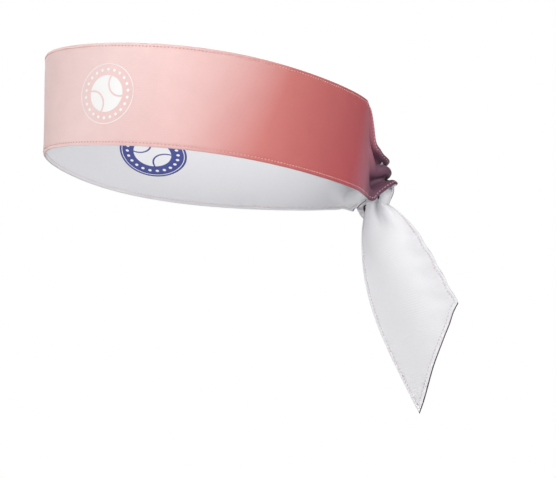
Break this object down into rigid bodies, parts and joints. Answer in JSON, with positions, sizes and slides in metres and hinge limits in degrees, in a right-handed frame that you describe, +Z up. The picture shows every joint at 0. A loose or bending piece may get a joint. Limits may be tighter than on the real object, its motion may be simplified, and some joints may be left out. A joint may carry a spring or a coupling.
{
  "type": "tie headband",
  "caption": "Wide knit tie headband with a pale lining, closed behind the head by a reef knot with two loose bias-cut tails.",
  "frame": {"origin": "centre of the head opening, halfway up the band", "axes": "+Z up, -Y towards the wearer's face, +Y towards the knot behind the head, +X to the wearer's left"},
  "size_m": [0.1706, 0.2495, 0.2155],
  "materials": {
    "knit_pink": "smooth satin polyester knit, dyed pale pink at the front and coral towards the knot",
    "lining_white": "matte white brushed knit",
    "knit_plum": "smooth satin polyester knit, plum",
    "knit_plum_tail": "smooth satin polyester knit, dark plum",
    "thread_pink": "matte sewing thread, dusty pink",
    "thread_plum": "matte sewing thread, pale plum",
    "print_white": "flexible white transfer print, matte",
    "print_navy": "flexible navy transfer print, matte"
  },
  "bodies": {
    "band": {"band_face": "knit_pink", "band_lining": "lining_white", "band_top_stitching_face": "thread_pink", "band_bottom_stitching_face": "thread_pink", "band_top_stitching_lining": "thread_pink", "band_bottom_stitching_lining": "thread_pink", "emblem_face": "print_white", "emblem_lining": "print_navy", "knot_left_strand": "knit_plum", "knot_right_strand": "knit_plum"},
    "tail_left": {"tail_left_face": "knit_plum_tail", "tail_left_lining": "lining_white", "tail_left_stitching_face": "thread_plum", "tail_left_stitching_lining": "thread_plum"},
    "tail_right": {"tail_right_face": "knit_plum_tail", "tail_right_lining": "lining_white", "tail_right_stitching_face": "thread_plum", "tail_right_stitching_lining": "thread_plum"}
  },
  "joints": [
    {"name": "tail_left_swing", "type": "hinge", "parent": "band", "child": "tail_left", "pos_m": [0.014, 0.106, -0.042], "axis": [1, 0, 0], "range_deg": [-14, 70]},
    {"name": "tail_right_swing", "type": "hinge", "parent": "band", "child": "tail_right", "pos_m": [-0.014, 0.109, -0.042], "axis": [1, 0, 0], "range_deg": [-20, 60]}
  ]
}
